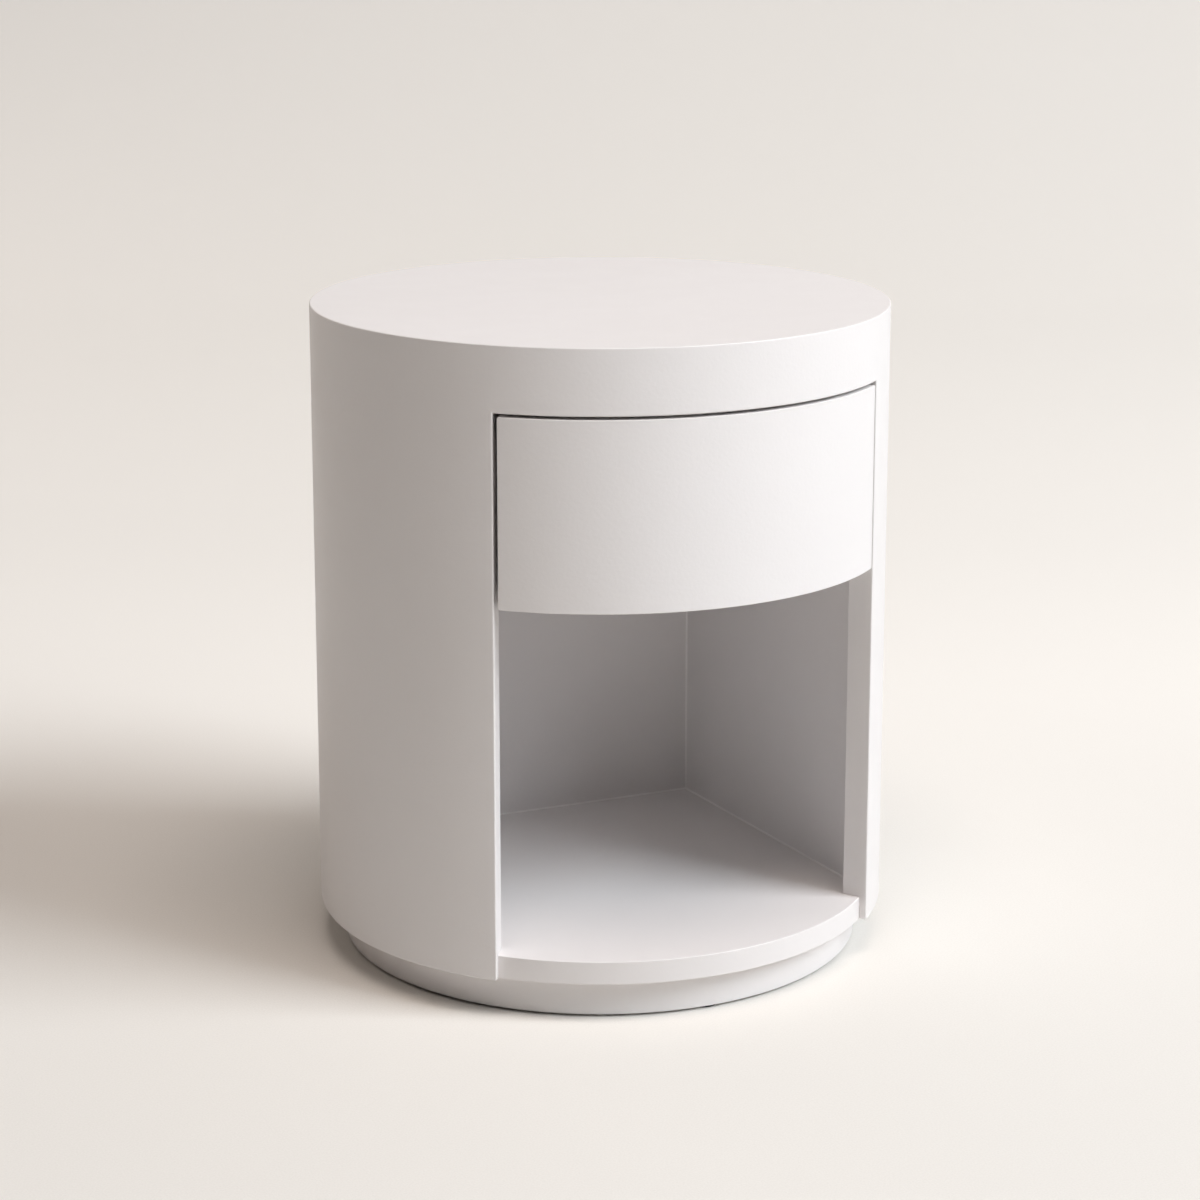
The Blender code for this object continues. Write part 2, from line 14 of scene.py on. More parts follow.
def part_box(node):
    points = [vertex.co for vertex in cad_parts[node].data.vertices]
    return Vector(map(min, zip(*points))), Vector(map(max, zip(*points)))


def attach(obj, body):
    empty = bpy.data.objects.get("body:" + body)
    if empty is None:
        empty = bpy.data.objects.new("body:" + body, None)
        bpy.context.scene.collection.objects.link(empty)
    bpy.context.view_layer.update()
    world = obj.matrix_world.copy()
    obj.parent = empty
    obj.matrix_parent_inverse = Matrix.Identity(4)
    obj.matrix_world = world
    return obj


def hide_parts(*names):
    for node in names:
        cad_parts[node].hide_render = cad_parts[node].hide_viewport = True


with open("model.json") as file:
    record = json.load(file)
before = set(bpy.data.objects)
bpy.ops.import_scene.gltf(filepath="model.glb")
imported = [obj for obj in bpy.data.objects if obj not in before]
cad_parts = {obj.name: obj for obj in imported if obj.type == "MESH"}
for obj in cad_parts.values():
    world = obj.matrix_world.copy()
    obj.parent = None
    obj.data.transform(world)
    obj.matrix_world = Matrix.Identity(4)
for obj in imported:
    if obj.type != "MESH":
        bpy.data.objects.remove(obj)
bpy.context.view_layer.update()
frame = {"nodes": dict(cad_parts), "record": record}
NODES = frame["nodes"]
MM = 0.001

# Drum
OUTER_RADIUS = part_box("top_panel")[1].x
TOTAL_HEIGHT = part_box("top_panel")[1].z
WALL_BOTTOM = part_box("curved_wall")[0].z
WALL_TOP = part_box("curved_wall")[1].z
WALL_THICKNESS = 21 * MM
WALL_INNER_RADIUS = OUTER_RADIUS - WALL_THICKNESS
TOP_EDGE_RADIUS = 1.0 * MM
TOP_EDGE_STEPS = 8
TOP_RINGS = (0.3, 0.6, 0.85)
OPENING_HALF_ANGLE = math.radians(43.8)
END_FACE_SPLAY = math.radians(32)

# Drawer: the gap of the solids, and the wider gaps that the photograph shows
FRONT_GAP = 2 * MM
SIDE_GAP = 3.2 * MM
TOP_GAP = 2.4 * MM
BUMPER_SPACE = 3 * MM
FRONT_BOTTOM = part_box("drawer_front")[0].z
FRONT_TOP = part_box("drawer_front")[1].z
FRONT_INNER_RADIUS = WALL_INNER_RADIUS + BUMPER_SPACE
OPENING_TOP = FRONT_TOP + FRONT_GAP
GROOVE_DEPTH = 5 * MM
BOARD_EDGE_RADIUS = 1.5 * MM
BOARD_LOWER_EDGE = 0.5 * MM
BOARD_BACK_EDGE = 0.4 * MM
BATTEN_EDGE = 1 * MM

# Slides, screws and pads
SLIDE_FACE_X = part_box("runner_batten_right")[0].x
SLIDE_SHEET = 1.2 * MM
FOLD_RADIUS = 2.2 * MM
CHANNEL_END_EDGE = 0.25 * MM
SLIDE_HEAD_RADIUS = 3.2 * MM
SLIDE_HEAD_HEIGHT = 1.4 * MM
SLIDE_SHANK_RADIUS = 1.6 * MM
SLIDE_HEAD_RIM = 0.2 * MM
SLIDE_TIP = 2 * MM
SLIDE_CROSS = (1.75 * MM, 0.38 * MM)
SLIDE_CROSS_DEPTH = 0.8 * MM
PLINTH_HEAD_RADIUS = 4 * MM
PLINTH_HEAD_HEIGHT = 2.4 * MM
PLINTH_SHANK_RADIUS = 2 * MM
PLINTH_HEAD_RIM = 0.3 * MM
PLINTH_TIP = 1.5 * MM
PLINTH_CROSS = (2.3 * MM, 0.45 * MM)
PLINTH_CROSS_DEPTH = 1.1 * MM
PLINTH_HOLE_DEPTH = 1.2 * MM
CROSS_NARROWING = 0.6
GLIDE_STEM_RADIUS = 2.5 * MM
GLIDE_STEM_TIP = 0.6 * MM
GLIDE_EDGE = 0.5 * MM
BUMPER_ANGLE = math.radians(28)
BUMPER_SKIRT = 0.4
BUMPER_STEPS = 8

# Floor, plinth and ceiling
SEAT = 0.3 * MM
LIP_RADIUS = -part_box("floor_panel")[0].y
FIT_RADIUS = WALL_INNER_RADIUS - SEAT
FLOOR_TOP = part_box("floor_panel")[1].z
PLINTH_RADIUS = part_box("plinth")[1].x
CEILING_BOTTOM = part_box("niche_ceiling")[0].z
CEILING_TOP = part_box("niche_ceiling")[1].z

# Niche
NICHE_BACK_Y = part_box("niche_back_panel")[0].y
NICHE_CORNER_X = 144.0 * MM
SIDE_PANEL_SPLAY = math.radians(4.2)
BEAD = 1.1 * MM
BEAD_SINK = 0.15
BEAD_STEPS = 6
BEAD_SETBACK = 6 * MM

# Softness of the painted edges
WALL_EDGE = 1.3 * MM
FRONT_EDGE = 0.5 * MM
FRONT_CORNER = 1.6 * MM
LIP_EDGE = 0.7 * MM
PLINTH_EDGE = 0.8 * MM

PLINTH_SCREWS = sorted(name for name in NODES if name.startswith("plinth_screw_"))
GLIDES = sorted(name for name in NODES if name.startswith("glide_"))

# Steps of the curves
FRONT_STEPS = 64
BACK_STEPS = 192
ROOF_STEPS = 192
PLINTH_STEPS = 256
GLIDE_STEPS = 40
SMALL_STEPS = 32
HOLE_STEPS = 24

SHARP_ANGLE = math.radians(35)
TOUCH = 0.1 * MM
NOISE_SPREAD = (0.3, 0.7)
SIDES = (("left", -1), ("right", 1))

# Camera, measured from the photograph
CAMERA_PLACE = (-0.9325, -2.1070, 0.8749)
CAMERA_PITCH = math.radians(90 - 12.470)
CAMERA_HEADING = math.radians(-23.872)
CAMERA_LENS = 89.95
CAMERA_SENSOR = 36
CAMERA_SHIFT = -0.1
CAMERA_CLIP_END = 50

# Studio: the paper's glow by depth behind the drum, as (metres, strength). Beyond a calm zone it
# rises faster to the left, where no lamp stands, and it leans to the right by a share per metre.
PAPER_DARK = (0.796, 0.775, 0.732)
PAPER_LIGHT = (0.842, 0.821, 0.778)
PAPER_GLOW = (1.0, 0.925, 0.865)
PAPER_ROUGHNESS = 0.9
PAPER_GLOSS = 0.15
GLOW_STOPS = (
    (-0.25, 0.0),
    (0.17, 0.03),
    (0.62, 0.13),
    (1.53, 0.16),
    (3.2, 0.25),
    (7.5, 0.345),
    (16.0, 0.6),
)
GLOW_CALM = 3.0
GLOW_RISE = 2.5
GLOW_LEAN = 0.045
GLOW_LEAN_END = 2.5
ROOM_GLOW = 0.55
SWEEP_NEAR = -6.0
SWEEP_FAR = 3.0
SWEEP_BEND = 5.0
SWEEP_BEND_STEPS = 24
SWEEP_HEIGHT = 8.0
SWEEP_HALF_WIDTH = 10.0

# Lamps: degrees round the drum and above it, metres away, size, watts and colour
LAMP_AIM_HEIGHT = 0.25
LAMPS = {
    "key_from_right": (46, 39, 7.5, (3.6, 3.4), 460, (0.893, 0.948, 1.0)),
    "low_from_right": (34, 25, 7.5, (3.9, 2.7), 88, (0.93, 0.96, 1.0)),
    "soft_above": (-12, 73, 6.0, (3.6, 2.8), 182, (1.0, 0.885, 0.82)),
    "behind_left": (-152, 16, 5.0, (2.6, 1.8), 28, (1.0, 0.875, 0.79)),
    "behind_right": (114, 42, 6.0, (4.0, 3.2), 16, (0.9, 0.95, 1.0)),
}


def on_circle(radius, turn):
    """A point at an angle from the front, positive to +X."""
    return Vector((radius * math.sin(turn), -radius * math.cos(turn)))


def end_face_angle(radius, gap):
    """Angle from the front at which the right end face, moved in by a gap, meets a radius."""
    inward = Vector((-math.sin(END_FACE_SPLAY), math.cos(END_FACE_SPLAY)))
    sideways = Vector((-math.cos(END_FACE_SPLAY), -math.sin(END_FACE_SPLAY)))
    start = on_circle(OUTER_RADIUS, OPENING_HALF_ANGLE) + sideways * gap
    along = start.dot(inward)
    reach = -along - math.sqrt(along**2 - start.length_squared + radius**2)
    point = start + inward * reach
    return math.atan2(point.x, -point.y)


def middle(node):
    low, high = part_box(node)
    return (low + high) / 2


def steps_between(start, end, steps):
    return [start + (end - start) * i / steps for i in range(steps + 1)]


WALL_END = end_face_angle(OUTER_RADIUS, 0)
WALL_INNER_END = end_face_angle(WALL_INNER_RADIUS, 0)
RIM_TURNS = (
    steps_between(-WALL_END, WALL_END, FRONT_STEPS)
    + steps_between(WALL_END, 2 * math.pi - WALL_END, BACK_STEPS)[1:-1]
)
WALL_INNER_TURNS = (
    steps_between(-WALL_INNER_END, WALL_INNER_END, FRONT_STEPS)
    + steps_between(WALL_INNER_END, 2 * math.pi - WALL_INNER_END, BACK_STEPS)[1:-1]
)


def even_turns(steps):
    return [2 * math.pi * i / steps for i in range(steps)]


def link(tree, output, socket):
    tree.links.new(output, socket)


def new_finish(name, colour, roughness, metallic=0.0):
    """A material with its shader, and the object's own coordinates in metres."""
    material = bpy.data.materials.new(name)
    material.use_nodes = True
    tree = material.node_tree
    shader = tree.nodes["Principled BSDF"]
    shader.inputs["Base Color"].default_value = (*colour, 1)
    shader.inputs["Roughness"].default_value = roughness
    shader.inputs["Metallic"].default_value = metallic
    place = tree.nodes.new("ShaderNodeTexCoord").outputs["Object"]
    return material, tree, shader, place


def stretched(tree, place, scale):
    """Coordinates scaled along each axis, for grain that runs one way."""
    mapping = tree.nodes.new("ShaderNodeMapping")
    mapping.inputs["Scale"].default_value = scale
    link(tree, place, mapping.inputs["Vector"])
    return mapping.outputs["Vector"]


def noise(tree, place, scale, detail, roughness=0.5):
    made = tree.nodes.new("ShaderNodeTexNoise")
    made.inputs["Scale"].default_value = scale
    made.inputs["Detail"].default_value = detail
    made.inputs["Roughness"].default_value = roughness
    link(tree, place, made.inputs["Vector"])
    return made.outputs["Fac"]


def maths(tree, operation, first, second):
    """One sum on two values, each a number or another node's output."""
    made = tree.nodes.new("ShaderNodeMath")
    made.operation = operation
    for socket, value in zip(made.inputs, (first, second)):
        if isinstance(value, float):
            socket.default_value = value
        else:
            link(tree, value, socket)
    return made.outputs["Value"]


def distance_along(tree, place, way):
    """How far a place lies along a direction."""
    made = tree.nodes.new("ShaderNodeVectorMath")
    made.operation = "DOT_PRODUCT"
    made.inputs[1].default_value = way
    link(tree, place, made.inputs[0])
    return made.outputs["Value"]


def tint(tree, shader, factor, dark, light):
    """Varies the base colour between two tones."""
    ramp = tree.nodes.new("ShaderNodeValToRGB")
    for stop, position, tone in zip(ramp.color_ramp.elements, NOISE_SPREAD, (dark, light)):
        stop.position = position
        stop.color = (*tone, 1)
    link(tree, factor, ramp.inputs["Fac"])
    link(tree, ramp.outputs["Color"], shader.inputs["Base Color"])


def vary(tree, socket, factor, low, high):
    """Varies a number on the shader between two values."""
    spread = tree.nodes.new("ShaderNodeMapRange")
    spread.inputs["From Min"].default_value = NOISE_SPREAD[0]
    spread.inputs["From Max"].default_value = NOISE_SPREAD[1]
    spread.inputs["To Min"].default_value = low
    spread.inputs["To Max"].default_value = high
    link(tree, factor, spread.inputs["Value"])
    link(tree, spread.outputs["Result"], socket)


def relief(tree, shader, height, depth, strength):
    bump = tree.nodes.new("ShaderNodeBump")
    bump.inputs["Distance"].default_value = depth
    bump.inputs["Strength"].default_value = strength
    link(tree, height, bump.inputs["Height"])
    link(tree, bump.outputs["Normal"], shader.inputs["Normal"])


def lacquer():
    """Sprayed satin lacquer: faint orange peel, slight drift of tone and gloss."""
    material, tree, shader, place = new_finish("white_lacquer", (0.80, 0.774, 0.768), 0.42)
    tint(tree, shader, noise(tree, place, 5, 3), (0.792, 0.765, 0.758), (0.808, 0.783, 0.778))
    vary(tree, shader.inputs["Roughness"], noise(tree, place, 38, 4), 0.38, 0.47)
    relief(tree, shader, noise(tree, place, 360, 2.5, 0.55), 0.12 * MM, 0.8)
    return material


def bead_with_painted_highlight():
    """Smooth beads along the niche's joints, glossier than the lacquer; their paler colour is a
    painted highlight that makes the joints read as light lines.
    """
    # The tones, paler than the lacquer, are a painted highlight along the joints.
    material, tree, shader, place = new_finish("joint_bead_painted_highlight", (0.94, 0.92, 0.91), 0.34)
    tint(tree, shader, noise(tree, place, 30, 2), (0.925, 0.905, 0.895), (0.955, 0.935, 0.925))
    vary(tree, shader.inputs["Roughness"], noise(tree, place, 160, 3), 0.28, 0.42)
    relief(tree, shader, noise(tree, place, 260, 2), 0.05 * MM, 0.4)
    return material


def inner_board():
    """Matte foil on the drawer box and battens, with a fine grain along the boards."""
    material, tree, shader, place = new_finish("inner_board", (0.72, 0.69, 0.65), 0.6)
    along = stretched(tree, place, (120, 9, 120))
    grain = noise(tree, along, 5, 4, 0.6)
    tint(tree, shader, grain, (0.69, 0.655, 0.612), (0.745, 0.718, 0.68))
    vary(tree, shader.inputs["Roughness"], grain, 0.54, 0.68)
    relief(tree, shader, grain, 0.05 * MM, 0.5)
    return material


def zinc_steel():
    """Rolled steel with bright zinc: fine lines along the slide and cloudy patches."""
    material, tree, shader, place = new_finish("zinc_steel", (0.62, 0.63, 0.65), 0.34, 1.0)
    lines = noise(tree, stretched(tree, place, (900, 14, 900)), 2, 3, 0.6)
    clouds = noise(tree, place, 55, 4, 0.6)
    tint(tree, shader, clouds, (0.55, 0.56, 0.585), (0.68, 0.69, 0.70))
    vary(tree, shader.inputs["Roughness"], lines, 0.27, 0.42)
    relief(tree, shader, lines, 0.02 * MM, 0.6)
    return material


def beech():
    """Raw beech with fine dark flecks."""
    material, tree, shader, place = new_finish("beech", (0.62, 0.44, 0.27), 0.65)
    grain = noise(tree, place, 650, 5, 0.65)
    tint(tree, shader, grain, (0.54, 0.365, 0.215), (0.68, 0.50, 0.325))
    vary(tree, shader.inputs["Roughness"], grain, 0.58, 0.74)
    relief(tree, shader, grain, 0.08 * MM, 0.6)
    return material


def clear_rubber():
    """Cloudy clear polyurethane of the stick-on pads."""
    material, tree, shader, place = new_finish("clear_rubber", (0.75, 0.75, 0.73), 0.3)
    haze = noise(tree, place, 320, 3)
    tint(tree, shader, haze, (0.70, 0.70, 0.675), (0.80, 0.80, 0.785))
    vary(tree, shader.inputs["Roughness"], haze, 0.22, 0.36)
    shader.inputs["Transmission Weight"].default_value = 0.55
    shader.inputs["IOR"].default_value = 1.48
    return material


def black_plastic():
    """Moulded black glide with a fine eroded grain."""
    material, tree, shader, place = new_finish("black_plastic", (0.03, 0.03, 0.03), 0.6)
    grain = noise(tree, place, 900, 3, 0.6)
    tint(tree, shader, grain, (0.022, 0.022, 0.023), (0.042, 0.041, 0.040))
    vary(tree, shader.inputs["Roughness"], grain, 0.5, 0.68)
    relief(tree, shader, grain, 0.05 * MM, 0.6)
    return material


FINISHES = {
    "white_lacquer": lacquer(),
    "inner_board": inner_board(),
    "zinc_steel": zinc_steel(),
    "beech": beech(),
    "clear_rubber": clear_rubber(),
    "black_plastic": black_plastic(),
}
# The beads' pale colour is a painted highlight along the niche's joints.
BEAD_PAINTED_HIGHLIGHT = bead_with_painted_highlight()


def place_piece(name, shape, body, slot, nodes=(), material=None):
    """Turns a bmesh into a smooth piece that rides on a body and stands for CAD nodes."""
    bmesh.ops.recalc_face_normals(shape, faces=shape.faces)
    if shape.calc_volume(signed=True) < 0:
        bmesh.ops.reverse_faces(shape, faces=shape.faces)
    data = bpy.data.meshes.new(name)
    shape.to_mesh(data)
    shape.free()
    data.shade_smooth()
    data.set_sharp_from_angle(angle=SHARP_ANGLE)
    data.materials.append(material or FINISHES[slot])
    made = bpy.data.objects.new(name, data)
    bpy.context.scene.collection.objects.link(made)
    even = made.modifiers.new("Even shading", "WEIGHTED_NORMAL")
    even.keep_sharp = True
    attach(made, body)
    if nodes:
        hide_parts(*nodes)


def soften(shape, edges, radius, segments=4):
    """Rounds some edges of a shape."""
    bmesh.ops.bevel(
        shape,
        geom=edges,
        offset=radius,
        offset_type="OFFSET",
        segments=segments,
        profile=0.5,
        affect="EDGES",
        clamp_overlap=True,
    )


def sharp_edges(shape, keep=lambda edge: True):
    shape.normal_update()
    return [
        edge
        for edge in shape.edges
        if len(edge.link_faces) == 2 and edge.calc_face_angle() > SHARP_ANGLE and keep(edge)
    ]


def is_level(edge):
    return abs(edge.verts[0].co.z - edge.verts[1].co.z) < MM


def turned(profile, turns):
    """A profile of (radius, height) points turned about Z, open if it ends away from the axis."""
    shape = bmesh.new()
    rings = []
    for radius, height in profile:
        if radius == 0:
            rings.append([shape.verts.new((0, 0, height))] * len(turns))
        else:
            rings.append([shape.verts.new((*on_circle(radius, turn), height)) for turn in turns])
    for upper, lower in zip(rings, rings[1:]):
        for i in range(len(turns)):
            j = (i + 1) % len(turns)
            corners = [upper[i], upper[j], lower[j], lower[i]]
            shape.faces.new(list(dict.fromkeys(corners)))
    return shape


def rounded(centre, radius, start, end, steps=4):
    """Points of an arc in a profile, by angle from straight out to straight up."""
    return [
        (centre[0] + radius * math.cos(turn), centre[1] + radius * math.sin(turn))
        for turn in steps_between(math.radians(start), math.radians(end), steps)
    ]


def board_skin(outer, inner, levels, filled, closed):
    """Quads round the filled cells of a curved board between two rows of points."""
    shape = bmesh.new()
    count = len(outer)
    cells = count if closed else count - 1
    corners = {}

    def corner(i, k, row):
        key = (i % count, k, row)
        if key not in corners:
            corners[key] = shape.verts.new((*(outer, inner)[row][i % count], levels[k]))
        return corners[key]

    def is_filled(i, k):
        if closed:
            i %= cells
        return 0 <= i < cells and 0 <= k < len(levels) - 1 and filled(i, k)

    for i in range(cells):
        for k in range(len(levels) - 1):
            if not is_filled(i, k):
                continue
            for row in (0, 1):
                around = ((i, k), (i + 1, k), (i + 1, k + 1), (i, k + 1))
                shape.faces.new([corner(*at, row) for at in around])
            borders = (
                ((i - 1, k), (i, k), (i, k + 1)),
                ((i + 1, k), (i + 1, k), (i + 1, k + 1)),
                ((i, k - 1), (i, k), (i + 1, k)),
                ((i, k + 1), (i, k + 1), (i + 1, k + 1)),
            )
            for neighbour, a, b in borders:
                if not is_filled(*neighbour):
                    shape.faces.new([corner(*a, 0), corner(*b, 0), corner(*b, 1), corner(*a, 1)])
    bmesh.ops.recalc_face_normals(shape, faces=shape.faces)
    return shape


def between(start, end):
    """A closed shape between two outlines of as many 3-D points."""
    shape = bmesh.new()
    first = [shape.verts.new(point) for point in start]
    last = [shape.verts.new(point) for point in end]
    shape.faces.new(first)
    shape.faces.new(last)
    for i in range(len(first)):
        j = (i + 1) % len(first)
        shape.faces.new([first[i], first[j], last[j], last[i]])
    bmesh.ops.recalc_face_normals(shape, faces=shape.faces)
    return shape


def extruded(outline, low, high):
    """A flat outline of (x, y) points between two heights."""
    return between([(x, y, low) for x, y in outline], [(x, y, high) for x, y in outline])


def swept(section, start, end):
    """A closed section of 3-D offsets, drawn straight from one point to another."""
    return between([start + offset for offset in section], [end + offset for offset in section])


def along_y(section, start, end):
    """A closed (x, z) section drawn along Y, from a start that may depend on x."""
    return between([(x, start(x), z) for x, z in section], [(x, end, z) for x, z in section])


def hollow_out(shape, outlines, depth, narrowing=1.0):
    """Closes the open flat ring of a shape, leaving hollows of given (centre, points) in it."""
    rim = [edge for edge in shape.edges if edge.is_boundary]
    height = rim[0].verts[0].co.z
    borders = list(rim)
    hollows = []
    for centre, points in outlines:
        upper = [shape.verts.new((centre[0] + x, centre[1] + y, height)) for x, y in points]
        borders += [shape.edges.new((a, b)) for a, b in zip(upper, upper[1:] + upper[:1])]
        hollows.append((centre, points, upper))
    bmesh.ops.triangle_fill(shape, edges=borders, use_beauty=True)
    for centre, points, upper in hollows:
        lower = [
            shape.verts.new((centre[0] + x * narrowing, centre[1] + y * narrowing, height + depth))
            for x, y in points
        ]
        for i in range(len(points)):
            j = (i + 1) % len(points)
            shape.faces.new([upper[i], upper[j], lower[j], lower[i]])
        shape.faces.new(lower)


def cross(reach, half):
    """Outline of a cross recess."""
    arm = [(half, half), (half, reach), (-half, reach)]
    turns = [Matrix.Rotation(turn, 2) for turn in even_turns(4)]
    return [tuple(turn @ Vector(point)) for turn in turns for point in arm]


def pointed(shape, start, direction):
    """Moves a shape that was made along +Z so that it starts at a point and runs in a direction."""
    turn = Vector(direction).to_track_quat("Z", "Y").to_matrix().to_4x4()
    shape.transform(Matrix.Translation(Vector(start)) @ turn)


def make_top():
    """Flat top with a softly rounded rim, painted in one with the wall."""
    centre = (OUTER_RADIUS - TOP_EDGE_RADIUS, TOTAL_HEIGHT - TOP_EDGE_RADIUS)
    rim = rounded(centre, TOP_EDGE_RADIUS, 90, 0, TOP_EDGE_STEPS)
    flat = [(OUTER_RADIUS * share, TOTAL_HEIGHT) for share in TOP_RINGS]
    under = [(OUTER_RADIUS, WALL_TOP), (WALL_INNER_RADIUS, WALL_TOP), (0, WALL_TOP)]
    profile = [(0, TOTAL_HEIGHT), *flat, *rim, *under]
    place_piece("top", turned(profile, RIM_TURNS), "cabinet", "white_lacquer", ["top_panel"])


def make_wall():
    """Bent wall, open at the front from the lower edge up to the apron."""
    outer = [on_circle(OUTER_RADIUS, turn) for turn in RIM_TURNS]
    inner = [on_circle(WALL_INNER_RADIUS, turn) for turn in WALL_INNER_TURNS]
    levels = [WALL_BOTTOM, OPENING_TOP, WALL_TOP]
    shape = board_skin(outer, inner, levels, lambda i, k: k == 1 or i >= FRONT_STEPS, True)
    free = sharp_edges(shape, lambda edge: min(v.co.z for v in edge.verts) < WALL_TOP - MM)
    soften(shape, free, WALL_EDGE)
    place_piece("wall", shape, "cabinet", "white_lacquer", ["curved_wall"])


def make_drawer_front():
    """Curved board; its corners, level edges through its thickness, are rounder than the rest."""
    through = (OUTER_RADIUS - FRONT_INNER_RADIUS) / 2
    ends = [end_face_angle(radius, SIDE_GAP) for radius in (OUTER_RADIUS, FRONT_INNER_RADIUS)]
    rows = [
        [on_circle(radius, turn) for turn in steps_between(-end, end, FRONT_STEPS)]
        for radius, end in zip((OUTER_RADIUS, FRONT_INNER_RADIUS), ends)
    ]
    shape = board_skin(*rows, [FRONT_BOTTOM, OPENING_TOP - TOP_GAP], lambda i, k: True, False)
    corners = sharp_edges(shape, lambda edge: is_level(edge) and edge.calc_length() > through)
    soften(shape, corners, FRONT_CORNER, 5)
    soften(shape, sharp_edges(shape), FRONT_EDGE)
    place_piece("drawer_face", shape, "drawer", "white_lacquer", ["drawer_front"])


def make_floor():
    """Round floor within the wall, with a softened lip that fills the opening."""
    lip_end = end_face_angle(LIP_RADIUS, -SEAT)
    root = end_face_angle(FIT_RADIUS, -SEAT)
    lip_turns = steps_between(-lip_end, lip_end, FRONT_STEPS)
    back_turns = steps_between(root, 2 * math.pi - root, BACK_STEPS)
    outline = [on_circle(LIP_RADIUS, turn) for turn in lip_turns]
    outline += [on_circle(FIT_RADIUS, turn) for turn in back_turns]
    shape = extruded(outline, WALL_BOTTOM, FLOOR_TOP)
    lip = sharp_edges(
        shape,
        lambda edge: is_level(edge)
        and min(v.co.xy.length for v in edge.verts) > LIP_RADIUS - MM,
    )
    soften(shape, lip, LIP_EDGE)
    place_piece("niche_floor", shape, "cabinet", "white_lacquer", ["floor_panel"])


def make_plinth():
    """Recessed round base with sunk holes for its screws."""
    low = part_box("plinth")[0].z
    edge = PLINTH_EDGE
    foot = rounded((PLINTH_RADIUS - edge, low + edge), edge, 0, -90)
    profile = [(PLINTH_RADIUS * share, WALL_BOTTOM) for share in (0, 0.5, 1)] + foot
    shape = turned(profile, even_turns(PLINTH_STEPS))
    hole = [tuple(on_circle(PLINTH_HEAD_RADIUS + SEAT, turn)) for turn in even_turns(HOLE_STEPS)]
    holes = [((centre.x, centre.y), hole) for centre in map(middle, PLINTH_SCREWS)]
    hollow_out(shape, holes, PLINTH_HOLE_DEPTH)
    place_piece("base", shape, "cabinet", "white_lacquer", ["plinth"])


def make_plinth_screws():
    """Countersunk screws with a cross recess, a little sunk in the plinth's underside."""
    head, shank, rim = PLINTH_HEAD_RADIUS, PLINTH_SHANK_RADIUS, PLINTH_HEAD_RIM
    for node in PLINTH_SCREWS:
        low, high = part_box(node)
        length = high.z - low.z
        profile = [
            (0, length),
            (shank * 0.7, length),
            (shank, length - PLINTH_TIP),
            (shank, PLINTH_HEAD_HEIGHT),
            (head, rim),
            (head - rim * 0.3, rim * 0.3),
            (head - rim, 0),
        ]
        shape = turned(profile, even_turns(SMALL_STEPS))
        recess = [((0, 0), cross(*PLINTH_CROSS))]
        hollow_out(shape, recess, PLINTH_CROSS_DEPTH, CROSS_NARROWING)
        centre = middle(node)
        pointed(shape, (centre.x, centre.y, low.z), (0, 0, 1))
        place_piece(f"{node}_head", shape, "cabinet", "zinc_steel", [node])


def make_glides():
    """Thin moulded pads with softened edges on pressed-in stems."""
    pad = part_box("plinth")[0].z - SEAT
    stem, edge = GLIDE_STEM_RADIUS, GLIDE_EDGE
    for node in GLIDES:
        low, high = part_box(node)
        radius = (high.x - low.x) / 2
        profile = [
            (0, high.z),
            (stem * 0.8, high.z),
            (stem, high.z - GLIDE_STEM_TIP),
            (stem, pad),
            *rounded((radius - edge, pad - edge), edge, 90, 0, 3),
            *rounded((radius - edge, edge), edge, 0, -90, 3),
            (radius * 0.5, 0),
            (0, 0),
        ]
        shape = turned(profile, even_turns(GLIDE_STEPS))
        centre = middle(node)
        pointed(shape, (centre.x, centre.y, 0), (0, 0, 1))
        place_piece(f"{node}_pad", shape, "cabinet", "black_plastic", [node])


def make_ceiling():
    """Round board above the niche."""
    edge = BOARD_EDGE_RADIUS
    low, high = CEILING_BOTTOM, CEILING_TOP
    profile = [
        (0, high),
        (FIT_RADIUS * 0.5, high),
        *rounded((FIT_RADIUS - edge, high - edge), edge, 90, 0),
        *rounded((FIT_RADIUS - edge, low + edge), edge, 0, -90),
        (FIT_RADIUS * 0.5, low),
        (0, low),
    ]
    shape = turned(profile, even_turns(ROOF_STEPS))
    place_piece("niche_roof", shape, "cabinet", "white_lacquer", ["niche_ceiling"])


def bead_section(first, second, size):
    """Hollow quarter-round in the corner between two directions, a little sunk, as 3-D offsets."""
    first, second = Vector(first) * size, Vector(second) * size
    centre = first + second
    arc = [
        centre - first * math.cos(turn) - second * math.sin(turn)
        for turn in steps_between(0, math.pi / 2, BEAD_STEPS)
    ]
    corner = -BEAD_SINK * centre
    return [corner, second - BEAD_SINK * first, *arc, first - BEAD_SINK * second]


def place_bead(name, section, start, end):
    place_piece(name, swept(section, start, end), "cabinet", "white_lacquer", material=BEAD_PAINTED_HIGHLIGHT)


